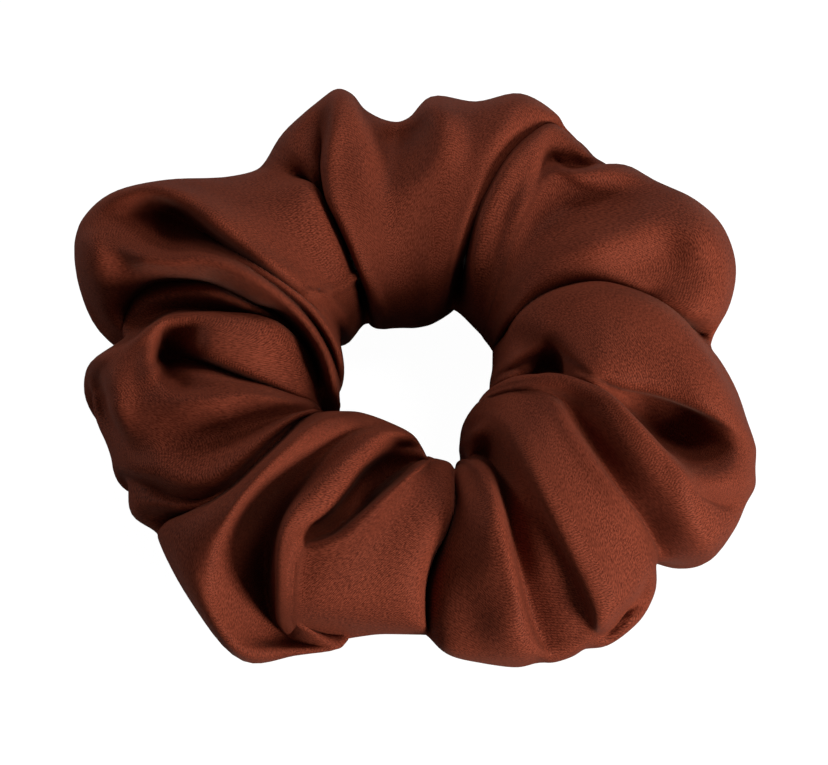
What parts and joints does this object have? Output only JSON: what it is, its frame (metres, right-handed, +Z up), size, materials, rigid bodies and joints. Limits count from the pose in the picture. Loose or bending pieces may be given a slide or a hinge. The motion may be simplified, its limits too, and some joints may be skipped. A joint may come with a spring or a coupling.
{
  "type": "scrunchie",
  "caption": "Hair scrunchie: a gathered satin sleeve in soft puffs on a stretchy elastic loop, closed with a tucked and stitched hem.",
  "frame": {"origin": "on the resting plane, under the middle of the sleeve's outline", "axes": "+Z up out of the surface that the ring lies on; the closing seam is at the back left, and the ring stretches towards it"},
  "size_m": [0.1084, 0.1048, 0.0348],
  "materials": {
    "satin": "rust-brown satin with a soft sheen",
    "elastic": "off-white braided elastic",
    "thread": "matching polyester sewing thread"
  },
  "bodies": {
    "ring": {"satin_sleeve": "satin", "elastic_band": "elastic", "tube_seam_needle_thread": "thread", "tube_seam_bobbin_thread": "thread"},
    "closure": {"closing_seam_needle_thread": "thread", "closing_seam_bobbin_thread": "thread", "elastic_lap_needle_thread": "thread", "elastic_lap_bobbin_thread": "thread"}
  },
  "joints": [
    {"name": "stretch", "type": "slide", "parent": "ring", "child": "closure", "axis": [-0.4633, 0.8862, 0], "range_m": [0, 0.07], "stiffness_N_per_m": 60, "deforming": ["satin_sleeve", "elastic_band", "tube_seam_needle_thread", "tube_seam_bobbin_thread"]}
  ]
}
